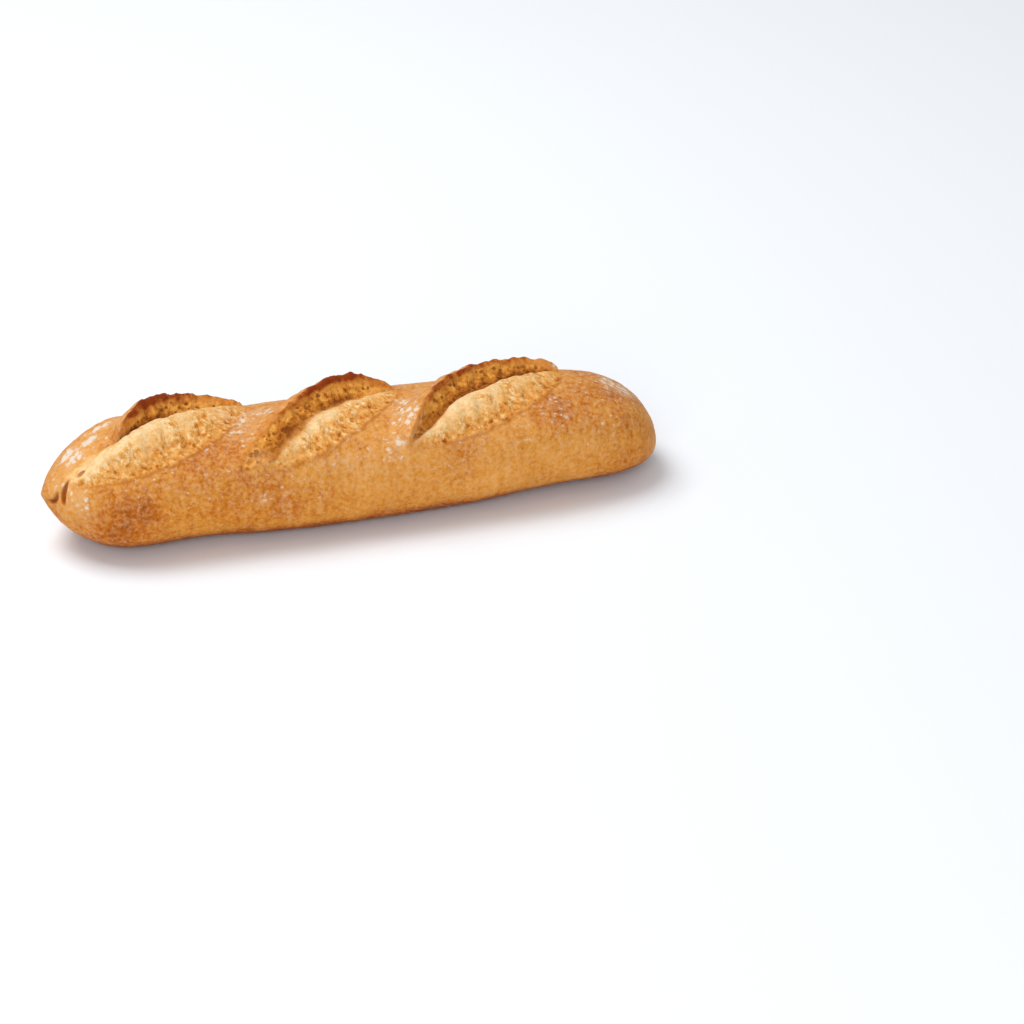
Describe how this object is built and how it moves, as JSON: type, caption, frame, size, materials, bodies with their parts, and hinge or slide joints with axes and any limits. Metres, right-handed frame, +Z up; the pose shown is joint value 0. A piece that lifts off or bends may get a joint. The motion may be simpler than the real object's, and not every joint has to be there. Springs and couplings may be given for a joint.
{
  "type": "mini baguette",
  "caption": "Short crusty white loaf with a flat underside, rounded ends and slanting slashes that open into raised ears and pale crumb; bread to eat whole or to fill.",
  "frame": {"origin": "on the table, under the middle of the loaf's bounding box", "axes": "+X along the loaf, from its pinched tip to its round end; -Y is the front, towards which the slashes open; +Z up"},
  "size_m": [0.24, 0.0583, 0.0522],
  "materials": {
    "crust": "baked golden-brown crust, dry and slightly satin, paler and matt in the opened slashes, with flour dust"
  },
  "bodies": {
    "root": {"loaf": "crust"}
  },
  "joints": []
}
